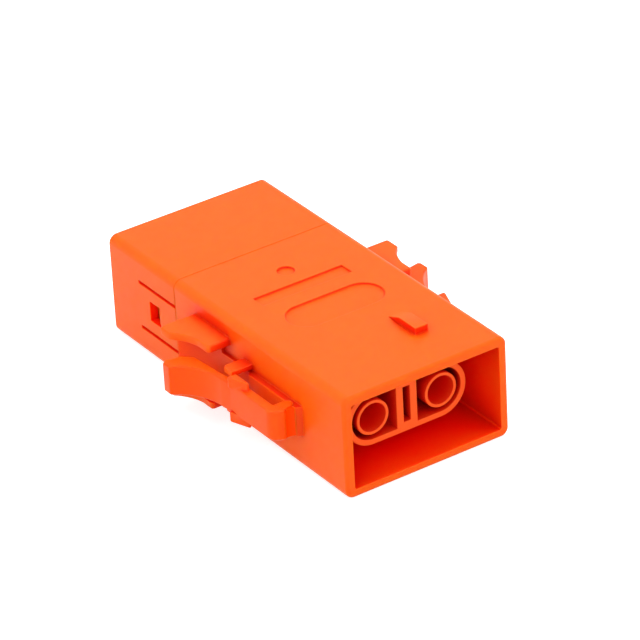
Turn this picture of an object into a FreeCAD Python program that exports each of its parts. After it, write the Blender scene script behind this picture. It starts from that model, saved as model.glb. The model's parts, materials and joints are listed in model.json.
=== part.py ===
import FreeCAD, Part
import math
import os
import Sketcher
from FreeCAD import Placement, Rotation, Vector

# Two-pole in-line power connector, plug half.
# Every body is drawn in one layout: X across, Y back from the mouth, Z up from the bottom face.
# Each body's Placement then carries the layout to the part's origin, under the middle of the length.

DRIVING_SIZES = (
    ("body_width", 34.0, "housing across the two poles"),
    ("body_height", 19.8, "housing top to bottom"),
    ("body_length", 73.2, "mouth to rear face"),
    ("housing_length", 51.7, "mouth to the seam with the rear cover"),
    ("corner_round", 1.6, "long edges of both shells"),
    ("shell_wall", 1.7, "wall round the mouth"),
    ("mouth_corner", 0.4, "inner corners of the mouth"),
    ("mouth_edge", 0.7, "rounding of the mouth's outer edge"),
    ("rear_edge", 0.5, "bevel of the rear cover's rear edge"),
    ("seam_edge", 0.15, "bevel on both sides of the seam"),
    ("cavity_depth", 30.0, "mouth to the inner floor"),
    ("floor_wall", 2.0, "inner floor, which the carrier passes through"),
    ("collar_length", 10.3, "collar behind the seam, inside the rear cover"),
    ("collar_wall", 1.5, "collar wall"),
    ("collar_corner", 1.2, "outer corners of the collar"),
    ("sliding_fit", 0.1, "clearance between pieces pushed together"),
    ("key_offset", 6.35, "coding key from the middle"),
    ("key_width", 2.65, "coding key across"),
    ("key_height", 1.3, "coding key above the top face"),
    ("key_front", 9.85, "mouth to the key's front face"),
    ("key_flat", 4.85, "flat top of the key"),
    ("key_ramp", 3.35, "sloping back of the key"),
    ("recess_depth", 0.4, "recesses in the top face"),
    ("recess_offset", 0.4, "recesses from the middle"),
    ("long_recess_front", 23.3, "mouth to the racetrack recess"),
    ("long_recess_length", 19.4, "racetrack recess across the housing"),
    ("long_recess_width", 7.8, "racetrack recess along the housing"),
    ("strip_recess_front", 34.7, "mouth to the strip recess"),
    ("strip_recess_offset", -0.15, "strip recess from the middle"),
    ("strip_recess_length", 18.7, "strip recess across the housing"),
    ("strip_recess_width", 3.1, "strip recess along the housing"),
    ("round_recess_front", 42.3, "mouth to the middle of the round recess"),
    ("round_recess_radius", 1.6, "round recess"),
    ("arm_height", 5.8, "latch arm top to bottom"),
    ("arm_thickness", 1.8, "latch arm across"),
    ("arm_reach", 22.4, "middle to the latch arm's outer face"),
    ("root_front", 13.3, "mouth to the front of the latch's bend"),
    ("root_thickness", 2.8, "latch's bend, front to back"),
    ("root_corner", 2.4, "outer corner of the latch's bend"),
    ("soft_edge", 0.3, "eased edges of the latches and the guard wings"),
    ("groove_width", 0.5, "flat of the groove between the bend and the pad"),
    ("knuckle_radius", 1.1, "rounded root of the latch, round its turning axis"),
    ("pivot_reach", 18.6, "middle to the latch's turning axis"),
    ("pivot_clearance", 0.05, "round the latch's root"),
    ("paddle_start", 28.6, "mouth to where the arm swells into the paddle"),
    ("paddle_end", 40.3, "mouth to the paddle's rear end"),
    ("paddle_reach", 27.5, "middle to the paddle's tip"),
    ("paddle_tip", 2.4, "flat tip of the paddle"),
    ("paddle_curve", 10.7, "finger curve of the paddle"),
    ("paddle_inner", 23.2, "middle to the paddle's rear inner corner"),
    ("tooth_front", 22.4, "mouth to the latch tooth"),
    ("tooth_rear", 26.5, "mouth to the latch tooth's holding face"),
    ("tooth_height", 1.5, "latch tooth above the arm"),
    ("tooth_overhang", 0.45, "latch tooth outside the arm"),
    ("tooth_root", 0.5, "latch tooth sunk below the arm's top"),
    ("pad_front", 12.4, "mouth to the pad under the latch"),
    ("pad_rear", 27.0, "mouth to the end of the thick pad"),
    ("pad_proud", 1.2, "thick pad off the wall"),
    ("strip_proud", 0.6, "thin strip behind the pad, off the wall"),
    ("stop_front", 27.3, "mouth to the stop bar"),
    ("stop_length", 2.8, "stop bar, front to back"),
    ("stop_reach", 21.4, "middle to the stop bar's end"),
    ("stop_thickness", 1.0, "stop bar top to bottom"),
    ("stop_gap", 0.5, "stop bar above the latch arm"),
    ("wing_front", 34.1, "mouth to the guard wings"),
    ("wing_rear", 45.4, "mouth to the rear of the guard wings"),
    ("wing_reach", 24.3, "middle to the widest part of a wing"),
    ("wing_neck", 21.6, "middle to the narrow part of a wing"),
    ("wing_tip", 3.0, "straight outer edge of a wing"),
    ("wing_curve", 9.0, "hollow outer edge of a wing"),
    ("wing_corner", 0.7, "rear corner of a wing"),
    ("wing_thickness", 1.4, "guard wing"),
    ("wing_gap", 2.1, "guard wing above the latch arm"),
    ("guard_reach", 20.8, "middle to the rear edge of the guard web"),
    ("guard_curve", 17.6, "hollow face of the guard web"),
    ("cover_wall", 1.7, "rear cover side wall"),
    ("cover_back", 2.0, "rear cover back wall"),
    ("slit_spacing", 9.2, "between the two slits beside a snap tongue"),
    ("slit_width", 0.6, "slit beside a snap tongue"),
    ("tongue_length", 11.9, "snap tongue"),
    ("window_front", 57.0, "mouth to the snap window"),
    ("window_length", 3.3, "snap window, front to back"),
    ("window_height", 3.9, "snap window, top to bottom"),
    ("catch_fit", 0.3, "snap catch inside its window, each side"),
    ("pole_pitch", 14.2, "between the two poles"),
    ("inlet_radius", 4.0, "wire inlets in the rear cover"),
    ("inlet_wall", 1.3, "tubes behind the wire inlets"),
    ("plug_front", 6.0, "mouth to the rim of the plug core"),
    ("plug_radius", 5.3, "rounded ends of the plug core"),
    ("plug_wall", 1.05, "plug core wall"),
    ("pocket_depth", 18.0, "pockets round the towers"),
    ("tower_radius", 3.3, "contact tower"),
    ("tower_bore", 2.7, "bore of a contact tower"),
    ("web_half", 2.15, "half of the web between the towers"),
    ("slot_half", 0.7, "half of the interlock slot across"),
    ("slot_height", 6.9, "interlock slot top to bottom"),
    ("slot_depth", 14.0, "interlock slot"),
    ("carrier_radius", 6.4, "rounded ends of the carrier behind the floor"),
    ("carrier_rear", 52.0, "mouth to the carrier's rear face"),
    ("shoulder_bore", 3.4, "carrier bore behind a contact's shoulder"),
    ("shoulder_seat", 33.0, "mouth to the seat of a contact's shoulder"),
    ("seal_seat", 44.0, "mouth to the seat of a wire seal"),
    ("seal_bore", 5.1, "carrier bore round a wire seal"),
    ("contact_front", 13.0, "mouth to a contact's front edge"),
    ("contact_rear", 46.5, "mouth to a contact's rear edge"),
    ("socket_radius", 2.6, "contact socket outside"),
    ("socket_bore", 2.15, "contact socket inside"),
    ("socket_depth", 17.0, "contact socket"),
    ("shoulder_radius", 3.3, "contact shoulder"),
    ("shoulder_length", 2.0, "contact shoulder"),
    ("neck_radius", 2.3, "contact neck behind the shoulder"),
    ("neck_length", 2.2, "contact neck"),
    ("crimp_radius", 2.9, "crimp barrel outside"),
    ("crimp_bore", 2.2, "crimp barrel inside"),
    ("crimp_depth", 8.5, "crimp barrel"),
    ("cage_length", 13.0, "contact spring cage"),
    ("cage_waist", 1.8, "inner radius at the cage's waist"),
    ("cage_wall", 0.15, "spring cage strip"),
    ("cage_ring", 0.8, "end rings of the spring cage"),
    ("cage_bars", 8, "bars round the spring cage"),
    ("cage_bar", 0.9, "bar of the spring cage across"),
    ("lock_thickness", 2.0, "contact lock, front to back"),
    ("lock_reach", 10.9, "middle to the contact lock's end"),
    ("lock_rise", 2.6, "contact lock above the poles' plane"),
    ("bridge_length", 11.0, "interlock bridge"),
    ("bridge_leg", 1.5, "leg of the interlock bridge"),
    ("bridge_half", 0.4, "half thickness of the interlock bridge"),
    ("bridge_spread", 4.6, "across both legs of the interlock bridge"),
    ("seal_inner", 3.2, "wire seal inside"),
    ("seal_groove", 0.7, "depth between a wire seal's ribs"),
    ("retainer_thickness", 1.8, "seal retainer"),
    ("retainer_hole", 3.6, "wire holes of the seal retainer"),
    ("ring_length", 3.4, "mating seal, front to back"),
    ("ring_wall", 0.9, "mating seal between its lips"),
    ("ring_lip", 0.6, "lips of the mating seal"),
)

doc = FreeCAD.newDocument("power_connector")
sheet = doc.addObject("Spreadsheet::Sheet", "sizes")
for row, (alias, value, meaning) in enumerate(DRIVING_SIZES, start=1):
    sheet.set(f"A{row}", meaning)
    sheet.set(f"B{row}", str(value))
    sheet.setAlias(f"B{row}", alias)
doc.recompute()


class Length:
    """A size with its value now and the formula that ties it to the sheet."""

    def __init__(self, value, formula):
        self.value = value
        self.formula = formula

    def __add__(self, other):
        other = as_length(other)
        return Length(self.value + other.value, f"({self.formula} + {other.formula})")

    def __sub__(self, other):
        other = as_length(other)
        return Length(self.value - other.value, f"({self.formula} - {other.formula})")

    def __mul__(self, factor):
        return Length(self.value * factor, f"({self.formula} * {factor})")

    def __truediv__(self, divisor):
        return Length(self.value / divisor, f"({self.formula} / {divisor})")

    def __neg__(self):
        return Length(-self.value, f"(-1 * {self.formula})")

    __rmul__ = __mul__
    __radd__ = __add__


def as_length(value):
    return value if isinstance(value, Length) else Length(float(value), str(float(value)))


class Sheet:
    """The sheet's sizes by name."""

    def __getattr__(self, name):
        return Length(float(sheet.get(name)), f"sizes.{name}")


at = Sheet()
half_width = at.body_width / 2
middle_height = at.body_height / 2
half_pitch = at.pole_pitch / 2
collar_end = at.housing_length + at.collar_length
floor_rear = at.cavity_depth + at.floor_wall
arm_bottom = middle_height - at.arm_height / 2
arm_top = middle_height + at.arm_height / 2
arm_inner = at.arm_reach - at.arm_thickness
slot_end = at.root_front + at.root_thickness

bodies = []


def new_body(label):
    """A named sub-part, placed so that the layout's origin comes under the middle of the part."""
    body = doc.addObject("PartDesign::Body", label)
    body.Label = label
    body.setExpression("Placement.Base.y", (-at.body_length / 2).formula)
    bodies.append(body)
    return body


def sketch_on(body, role, offset):
    """A sketch on an origin plane of the body, moved along that plane's normal."""
    sketch = body.newObject("Sketcher::SketchObject", f"{body.Label}_outline")
    plane = next(item for item in body.Origin.OriginFeatures if item.Role == role)
    sketch.AttachmentSupport = [(plane, "")]
    sketch.MapMode = "FlatFace"
    sketch.AttachmentOffset = Placement(Vector(0, 0, offset.value), Rotation())
    sketch.setExpression("AttachmentOffset.Base.z", offset.formula)
    return sketch


def section_at(body, y):
    """A cross-section, seen along the part; what is drawn is (x, z) and runs back towards the rear."""
    return sketch_on(body, "XZ_Plane", -as_length(y))


def plan_at(body, z):
    """A plan, seen from above; what is drawn is (x, y)."""
    return sketch_on(body, "XY_Plane", as_length(z))


def side_view_at(body, x):
    """A side view; what is drawn is (y, z)."""
    return sketch_on(body, "YZ_Plane", as_length(x))


def bind(sketch, constraint, length):
    index = sketch.addConstraint(constraint)
    sketch.setExpression(f"Constraints[{index}]", length.formula)


class Corner:
    """A corner of an outline; bend is the radius of the arc that leaves it, or None for a line."""

    def __init__(self, across, up, bend=None):
        self.across = as_length(across)
        self.up = as_length(up)
        self.bend = bend
        self.point = Vector(self.across.value, self.up.value, 0)


def fix_point(sketch, geometry, end, corner):
    """Ties one end of a line or arc to its distances from the sketch's origin."""
    across = Sketcher.Constraint("DistanceX", -1, 1, geometry, end, corner.across.value)
    up = Sketcher.Constraint("DistanceY", -1, 1, geometry, end, corner.up.value)
    bind(sketch, across, corner.across)
    bind(sketch, up, corner.up)


def outline(sketch, corners, side=1):
    """Draws a closed outline. A positive bend bulges to the right of the way round, and
    side=-1 draws the outline's mirror image."""
    if side < 0:
        corners = [Corner(-c.across, c.up, None if c.bend is None else -c.bend) for c in corners]
    first = previous = None
    for start, end in zip(corners, corners[1:] + corners[:1]):
        if start.bend is None:
            index = sketch.addGeometry(Part.LineSegment(start.point, end.point), False)
        else:
            radius = abs(start.bend.value)
            chord = end.point - start.point
            normal = Vector(chord.y, -chord.x, 0) / chord.Length
            rise = radius - math.sqrt(max(radius**2 - (chord.Length / 2)**2, 0))
            top = (start.point + end.point) / 2 + normal * math.copysign(rise, start.bend.value)
            index = sketch.addGeometry(Part.Arc(start.point, top, end.point), False)
            size = -start.bend if start.bend.value < 0 else start.bend
            bind(sketch, Sketcher.Constraint("Radius", index, radius), size)
        head = 1 if (sketch.getPoint(index, 1) - start.point).Length < 1e-6 else 2
        fix_point(sketch, index, head, start)
        if previous is None:
            first = (index, head)
        else:
            sketch.addConstraint(Sketcher.Constraint("Coincident", *previous, index, head))
        previous = (index, 3 - head)
    sketch.addConstraint(Sketcher.Constraint("Coincident", *previous, *first))


def rectangle(sketch, left, low, right, high, side=1):
    outline(sketch, [Corner(left, low), Corner(right, low), Corner(right, high), Corner(left, high)],
            side)


def rounded_rectangle(sketch, left, low, right, high, radius):
    outline(sketch, [
        Corner(left + radius, low), Corner(right - radius, low, radius),
        Corner(right, low + radius), Corner(right, high - radius, radius),
        Corner(right - radius, high), Corner(left + radius, high, radius),
        Corner(left, high - radius), Corner(left, low + radius, radius)])


def racetrack(sketch, middle_x, middle_y, half_straight, radius):
    """A rectangle with half-round left and right ends."""
    left, right = middle_x - half_straight, middle_x + half_straight
    outline(sketch, [
        Corner(left, middle_y - radius), Corner(right, middle_y - radius, radius),
        Corner(right + radius, middle_y, radius), Corner(right, middle_y + radius),
        Corner(left, middle_y + radius, radius), Corner(left - radius, middle_y, radius)])


def circle(sketch, x, y, radius):
    middle = Corner(x, y)
    index = sketch.addGeometry(Part.Circle(middle.point, Vector(0, 0, 1), radius.value), False)
    bind(sketch, Sketcher.Constraint("Radius", index, radius.value), radius)
    fix_point(sketch, index, 3, middle)


def volume_of(body):
    return body.Shape.Volume if not body.Shape.isNull() else 0.0


def runs_backwards(sketch):
    """Cross-sections look forwards, so a pad from one is turned round to run back."""
    return sketch.AttachmentSupport[0][0].Role == "XZ_Plane"


def pad(body, sketch, length):
    before = volume_of(body)
    feature = body.newObject("PartDesign::Pad", f"{body.Label}_pad")
    feature.Profile = sketch
    feature.setExpression("Length", as_length(length).formula)
    feature.Reversed = runs_backwards(sketch)
    doc.recompute()
    if volume_of(body) <= before:
        raise RuntimeError(f"{feature.Name} adds nothing")
    return feature


def pocket(body, sketch, depth, against=False):
    """Cuts back from a cross-section, down from a plan, or towards -X from a side view;
    against=True cuts the other way."""
    before = volume_of(body)
    feature = body.newObject("PartDesign::Pocket", f"{body.Label}_pocket")
    feature.Profile = sketch
    feature.setExpression("Length", as_length(depth).formula)
    feature.Reversed = against
    doc.recompute()
    if volume_of(body) >= before:
        raise RuntimeError(f"{feature.Name} cuts nothing")
    return feature


def revolve(body, sketch):
    feature = body.newObject("PartDesign::Revolution", f"{body.Label}_turned")
    feature.Profile = sketch
    feature.ReferenceAxis = (sketch, ["V_Axis"])
    feature.Angle = 360
    doc.recompute()
    return feature


def dress(body, kind, edge_test, size):
    """A Fillet or Chamfer on the edges that pass the test."""
    base = body.Tip
    names = [f"Edge{i}" for i, edge in enumerate(base.Shape.Edges, start=1) if edge_test(edge)]
    if not names:
        raise RuntimeError(f"{body.Label} has no edge for its {kind}")
    feature = body.newObject(f"PartDesign::{kind}", f"{body.Label}_{kind}")
    feature.Base = (base, names)
    feature.setExpression("Radius" if kind == "Fillet" else "Size", size.formula)
    doc.recompute()
    return feature


def lies_at(edge, y):
    """Whether an edge lies in the cross-section at y."""
    box = edge.BoundBox
    return abs(box.YMin - y.value) < 1e-4 and abs(box.YMax - y.value) < 1e-4


def is_level(edge, heights, reach):
    """Whether an edge is level, at one of the heights, and runs out past the given reach."""
    box = edge.BoundBox
    flat = any(abs(box.ZMin - z.value) < 1e-4 and abs(box.ZMax - z.value) < 1e-4 for z in heights)
    return flat and abs(box.XMin + box.XMax) / 2 > reach.value


def shell_section(sketch, inset, radius):
    """The rounded rectangle of the shells, moved inwards by the inset."""
    rounded_rectangle(sketch, -half_width + inset, as_length(inset),
                      half_width - inset, at.body_height - inset, radius)


def plug_section(sketch, radius):
    """The racetrack round both poles."""
    racetrack(sketch, as_length(0), middle_height, half_pitch, radius)


# Front housing: mouth, inner floor, rear collar with snap catches, coding key, guards and stops

def front_housing():
    body = new_body("front_housing")
    shell = section_at(body, 0)
    shell_section(shell, as_length(0), at.corner_round)
    pad(body, shell, at.housing_length)
    dress(body, "Fillet", lambda e: lies_at(e, as_length(0)), at.mouth_edge)
    dress(body, "Chamfer", lambda e: lies_at(e, at.housing_length), at.seam_edge)

    collar = section_at(body, at.housing_length)
    shell_section(collar, at.cover_wall + at.sliding_fit, at.collar_corner)
    pad(body, collar, at.collar_length)
    collar_face = half_width - at.cover_wall - at.sliding_fit
    catch_front = at.window_front + at.catch_fit
    catch_rear = at.window_front + at.window_length - at.catch_fit
    catch_reach = half_width - at.catch_fit
    catch_height = at.window_height - at.catch_fit * 2
    for side in (-1, 1):
        catch = plan_at(body, middle_height - catch_height / 2)
        outline(catch, [
            Corner(collar_face - at.collar_wall, catch_front), Corner(catch_reach, catch_front),
            Corner(catch_reach, catch_front + at.catch_fit), Corner(collar_face, catch_rear),
            Corner(collar_face - at.collar_wall, catch_rear)], side)
        pad(body, catch, catch_height)

    mouth = section_at(body, 0)
    shell_section(mouth, at.shell_wall, at.mouth_corner)
    pocket(body, mouth, at.cavity_depth)
    chamber = section_at(body, floor_rear)
    shell_section(chamber, at.cover_wall + at.sliding_fit + at.collar_wall, at.collar_corner)
    pocket(body, chamber, collar_end - floor_rear)
    passage = section_at(body, at.cavity_depth)
    plug_section(passage, at.plug_radius + at.sliding_fit)
    pocket(body, passage, at.floor_wall)

    coding_key(body)
    top_recesses(body)
    for side in (-1, 1):
        latch_pad(body, side)
        for upper in (False, True):
            stop_bar(body, side, upper)
            guard_wing(body, side, upper)
        guard_web(body, side)
        latch_seat(body, side)
    wing_face = at.arm_height / 2 + at.wing_gap + at.wing_thickness
    outer_faces = (middle_height - wing_face, middle_height + wing_face)
    dress(body, "Chamfer", lambda e: is_level(e, outer_faces, at.wing_neck - at.wing_corner),
          at.soft_edge)


def coding_key(body):
    key = side_view_at(body, at.key_offset - at.key_width / 2)
    ramp_start = at.key_front + at.key_flat
    sunk = at.body_height - at.shell_wall / 2
    outline(key, [
        Corner(at.key_front, sunk), Corner(ramp_start + at.key_ramp, sunk),
        Corner(ramp_start + at.key_ramp, at.body_height),
        Corner(ramp_start, at.body_height + at.key_height),
        Corner(at.key_front, at.body_height + at.key_height)])
    pad(body, key, at.key_width)


def top_recesses(body):
    long_recess = plan_at(body, at.body_height)
    racetrack(long_recess, at.recess_offset, at.long_recess_front + at.long_recess_width / 2,
              (at.long_recess_length - at.long_recess_width) / 2, at.long_recess_width / 2)
    pocket(body, long_recess, at.recess_depth)
    strip = plan_at(body, at.body_height)
    rectangle(strip, at.strip_recess_offset - at.strip_recess_length / 2, at.strip_recess_front,
              at.strip_recess_offset + at.strip_recess_length / 2,
              at.strip_recess_front + at.strip_recess_width)
    pocket(body, strip, at.recess_depth)
    mark = plan_at(body, at.body_height)
    circle(mark, at.recess_offset, at.round_recess_front, at.round_recess_radius)
    pocket(body, mark, at.recess_depth)


def latch_pad(body, side):
    """The strip on the side wall that the latch springs from, thick in front and thin behind."""
    inside = half_width - at.shell_wall / 2
    thick, thin = half_width + at.pad_proud, half_width + at.strip_proud
    strip = plan_at(body, arm_bottom)
    outline(strip, [
        Corner(inside, at.pad_front), Corner(half_width, at.pad_front),
        Corner(thick, at.pad_front + at.strip_proud), Corner(thick, at.pad_rear),
        Corner(thin, at.pad_rear + at.strip_proud), Corner(thin, at.wing_front + at.wing_gap),
        Corner(inside, at.wing_front + at.wing_gap)], side)
    pad(body, strip, at.arm_height)


def stop_bar(body, side, upper):
    inside = half_width - at.shell_wall / 2
    gap = at.arm_height / 2 + at.stop_gap
    low = middle_height + gap if upper else middle_height - gap - at.stop_thickness
    rear = at.stop_front + at.stop_length
    bevel = at.stop_thickness / 2
    bar = plan_at(body, low)
    outline(bar, [
        Corner(inside, at.stop_front), Corner(at.stop_reach, at.stop_front),
        Corner(at.stop_reach, rear - bevel), Corner(at.stop_reach - bevel, rear),
        Corner(inside, rear)], side)
    pad(body, bar, at.stop_thickness)


def guard_wing(body, side, upper):
    """One of the two plates that stand out above and below the paddle."""
    inside = half_width - at.shell_wall / 2
    gap = at.arm_height / 2 + at.wing_gap
    low = middle_height + gap if upper else middle_height - gap - at.wing_thickness
    hollow_rear = at.wing_rear - at.wing_tip
    hollow_front = at.wing_front + at.wing_tip
    wing = plan_at(body, low)
    outline(wing, [
        Corner(inside, at.wing_front),
        Corner(at.wing_neck - at.wing_corner, at.wing_front, at.wing_corner),
        Corner(at.wing_neck, at.wing_front + at.wing_corner),
        Corner(at.wing_neck, hollow_front, -at.wing_curve),
        Corner(at.wing_reach, hollow_rear),
        Corner(at.wing_reach, at.wing_rear - at.wing_corner, at.wing_corner),
        Corner(at.wing_reach - at.wing_corner, at.wing_rear), Corner(inside, at.wing_rear)], side)
    pad(body, wing, at.wing_thickness)


def guard_web(body, side):
    """The upright wall between the wings, hollowed to leave the paddle room."""
    inside = half_width - at.shell_wall / 2
    gap = at.arm_height / 2 + at.wing_gap
    web = plan_at(body, middle_height - gap)
    outline(web, [
        Corner(inside, at.wing_front + at.wing_gap),
        Corner(half_width + at.strip_proud, at.wing_front + at.wing_gap, -at.guard_curve),
        Corner(at.guard_reach, at.wing_rear), Corner(inside, at.wing_rear)], side)
    pad(body, web, gap * 2)


def latch_seat(body, side):
    """The round seat in the pad that the latch's root turns in."""
    seat = plan_at(body, arm_top)
    circle(seat, side * at.pivot_reach, slot_end - at.knuckle_radius,
           at.knuckle_radius + at.pivot_clearance)
    pocket(body, seat, at.arm_height)


# Side latches: each springs from the housing's pad, and its paddle is pressed inwards

def side_latch(name, side):
    body = new_body(name)
    radius = at.knuckle_radius
    paddle_root = at.arm_reach + at.strip_proud / 2
    arm = plan_at(body, arm_bottom)
    outline(arm, [
        Corner(at.pivot_reach, slot_end - radius * 2),
        Corner(at.pivot_reach + at.groove_width, slot_end - radius * 2),
        Corner(at.arm_reach - at.root_corner, at.root_front, at.root_corner),
        Corner(at.arm_reach, at.root_front + at.root_corner),
        Corner(at.arm_reach, at.tooth_rear),
        Corner(paddle_root, at.paddle_start, -at.paddle_curve),
        Corner(at.paddle_reach, at.paddle_end - at.paddle_tip),
        Corner(at.paddle_reach, at.paddle_end - at.paddle_tip / 4),
        Corner(at.paddle_reach - at.paddle_tip / 4, at.paddle_end),
        Corner(at.paddle_inner + at.paddle_tip / 4, at.paddle_end - at.paddle_tip / 4),
        Corner(at.paddle_inner - at.pad_proud, at.paddle_end - at.paddle_tip),
        Corner(arm_inner + at.strip_proud, at.paddle_start),
        Corner(arm_inner, at.tooth_rear),
        Corner(arm_inner, slot_end),
        Corner(at.pivot_reach, slot_end, radius),
        Corner(at.pivot_reach - radius, slot_end - radius, radius)], side)
    pad(body, arm, at.arm_height)
    dress(body, "Chamfer", lambda e: is_level(e, (arm_bottom, arm_top), arm_inner + at.soft_edge),
          at.soft_edge)
    tooth_outer = at.arm_reach + at.tooth_overhang
    tooth_inner = arm_inner + at.tooth_root
    for low in (arm_top - at.tooth_root, arm_bottom - at.tooth_height):
        tooth = plan_at(body, low)
        outline(tooth, [
            Corner(tooth_inner, at.tooth_front),
            Corner(tooth_inner + at.tooth_overhang, at.tooth_front),
            Corner(tooth_outer, at.tooth_rear - at.tooth_root),
            Corner(tooth_outer, at.tooth_rear),
            Corner(tooth_inner, at.tooth_rear)], side)
        pad(body, tooth, at.tooth_height + at.tooth_root)


# Rear cover: a cap with a snap tongue and window on each side and two wire inlets

def rear_cover():
    body = new_body("rear_cover")
    length = at.body_length - at.housing_length
    retainer_rear = at.carrier_rear + at.retainer_thickness
    shell = section_at(body, at.housing_length)
    shell_section(shell, as_length(0), at.corner_round)
    pad(body, shell, length)
    dress(body, "Chamfer", lambda e: lies_at(e, at.body_length), at.rear_edge)
    dress(body, "Chamfer", lambda e: lies_at(e, at.housing_length), at.seam_edge)
    inside = section_at(body, at.housing_length)
    shell_section(inside, at.cover_wall, at.collar_corner)
    pocket(body, inside, length - at.cover_back)
    for direction in (-1, 1):
        slit = side_view_at(body, half_width)
        middle = middle_height + at.slit_spacing / 2 * direction
        rectangle(slit, at.housing_length, middle - at.slit_width / 2,
                  at.housing_length + at.tongue_length, middle + at.slit_width / 2)
        pocket(body, slit, at.body_width)
    window = side_view_at(body, half_width)
    rectangle(window, at.window_front, middle_height - at.window_height / 2,
              at.window_front + at.window_length, middle_height + at.window_height / 2)
    pocket(body, window, at.body_width)
    for side in (-1, 1):
        tube = section_at(body, retainer_rear + at.sliding_fit)
        circle(tube, side * half_pitch, middle_height, at.inlet_radius + at.inlet_wall)
        pad(body, tube, at.body_length - retainer_rear - at.sliding_fit - at.cover_back / 2)
    for side in (-1, 1):
        inlet = section_at(body, retainer_rear)
        circle(inlet, side * half_pitch, middle_height, at.inlet_radius)
        pocket(body, inlet, at.body_length - retainer_rear)


# Contact carrier: the plug core with two towers and the interlock slot, and the bores behind

def contact_carrier():
    body = new_body("contact_carrier")
    core = section_at(body, at.plug_front)
    plug_section(core, at.plug_radius)
    pad(body, core, floor_rear - at.plug_front)
    rear = section_at(body, floor_rear)
    plug_section(rear, at.carrier_radius)
    pad(body, rear, at.carrier_rear - floor_rear)
    inner_radius = at.plug_radius - at.plug_wall
    low, high = middle_height - inner_radius, middle_height + inner_radius
    for side in (-1, 1):
        moat = section_at(body, at.plug_front)
        outline(moat, [
            Corner(at.web_half, low), Corner(half_pitch, low, inner_radius),
            Corner(half_pitch + inner_radius, middle_height, inner_radius),
            Corner(half_pitch, high), Corner(at.web_half, high)], side)
        circle(moat, side * half_pitch, middle_height, at.tower_radius)
        pocket(body, moat, at.pocket_depth)
        for front, radius, rear_end in (
                (at.plug_front, at.tower_bore, at.shoulder_seat),
                (at.shoulder_seat, at.shoulder_bore, at.seal_seat),
                (at.seal_seat, at.seal_bore, at.carrier_rear)):
            bore = section_at(body, front)
            circle(bore, side * half_pitch, middle_height, radius)
            pocket(body, bore, rear_end - front)
    slot = section_at(body, at.plug_front)
    rectangle(slot, -at.slot_half, middle_height - at.slot_height / 2,
              at.slot_half, middle_height + at.slot_height / 2)
    pocket(body, slot, at.slot_depth)
    bridge_seat = section_at(body, at.plug_front)
    rectangle(bridge_seat, -at.bridge_half, middle_height - at.bridge_spread / 2,
              at.bridge_half, middle_height + at.bridge_spread / 2)
    pocket(body, bridge_seat, at.slot_depth + at.bridge_length / 2)
    lock_slot = section_at(body, at.shoulder_seat + at.shoulder_length)
    rectangle(lock_slot, -at.lock_reach - at.sliding_fit, middle_height - at.carrier_radius,
              at.lock_reach + at.sliding_fit, middle_height + at.lock_rise + at.sliding_fit)
    pocket(body, lock_slot, at.neck_length)


# Contacts, their spring cages, and the lock behind their shoulders

def on_pole(body, side):
    """Puts a body that is turned about its own axis on one of the two poles."""
    body.setExpression("Placement.Base.x", (side * half_pitch).formula)
    body.setExpression("Placement.Base.z", middle_height.formula)


def contact(name, side):
    body = new_body(name)
    shoulder_rear = at.shoulder_seat + at.shoulder_length
    neck_rear = shoulder_rear + at.neck_length
    bore_end = at.contact_front + at.socket_depth
    profile = plan_at(body, 0)
    outline(profile, [
        Corner(at.socket_bore, at.contact_front),
        Corner(at.socket_radius, at.contact_front), Corner(at.socket_radius, at.shoulder_seat),
        Corner(at.shoulder_radius, at.shoulder_seat), Corner(at.shoulder_radius, shoulder_rear),
        Corner(at.neck_radius, shoulder_rear), Corner(at.neck_radius, neck_rear),
        Corner(at.crimp_radius, neck_rear), Corner(at.crimp_radius, at.contact_rear),
        Corner(at.crimp_bore, at.contact_rear), Corner(at.crimp_bore, at.contact_rear - at.crimp_depth),
        Corner(0, at.contact_rear - at.crimp_depth),
        Corner(0, bore_end), Corner(at.socket_bore, bore_end)])
    revolve(body, profile)
    on_pole(body, side)


def spring_cage(name, side):
    """Two rings joined by thin bars, which bow inwards in the middle so that they grip the pin."""
    body = new_body(name)
    front = at.contact_front + (at.socket_depth - at.cage_length) / 2
    rear = front + at.cage_length
    outer = at.socket_bore - at.sliding_fit / 2
    inner = outer - at.cage_wall
    foot_inner, foot_outer = inner + at.cage_wall / 8, inner + at.cage_wall / 2
    foot_front, foot_rear = front + at.cage_ring, rear - at.cage_ring

    front_ring = plan_at(body, 0)
    rectangle(front_ring, inner, front, outer, foot_front)
    revolve(body, front_ring)
    bow = plan_at(body, at.cage_bar / 2)
    outline(bow, [
        Corner(foot_inner, foot_front), Corner(foot_outer, foot_front),
        Corner(at.cage_waist + at.cage_wall, (front + rear) / 2),
        Corner(foot_outer, foot_rear), Corner(foot_inner, foot_rear),
        Corner(at.cage_waist, (front + rear) / 2)])
    bar = pad(body, bow, at.cage_bar)
    bar.Reversed = True
    pattern = body.newObject("PartDesign::PolarPattern", f"{name}_bars")
    pattern.Originals = [bar]
    axis = next(item for item in body.Origin.OriginFeatures if item.Role == "Y_Axis")
    pattern.Axis = (axis, [""])
    pattern.Angle = 360
    pattern.setExpression("Occurrences", at.cage_bars.formula)
    body.Tip = pattern
    rear_ring = plan_at(body, 0)
    rectangle(rear_ring, inner, foot_rear, outer, rear)
    revolve(body, rear_ring)
    on_pole(body, side)


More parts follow.
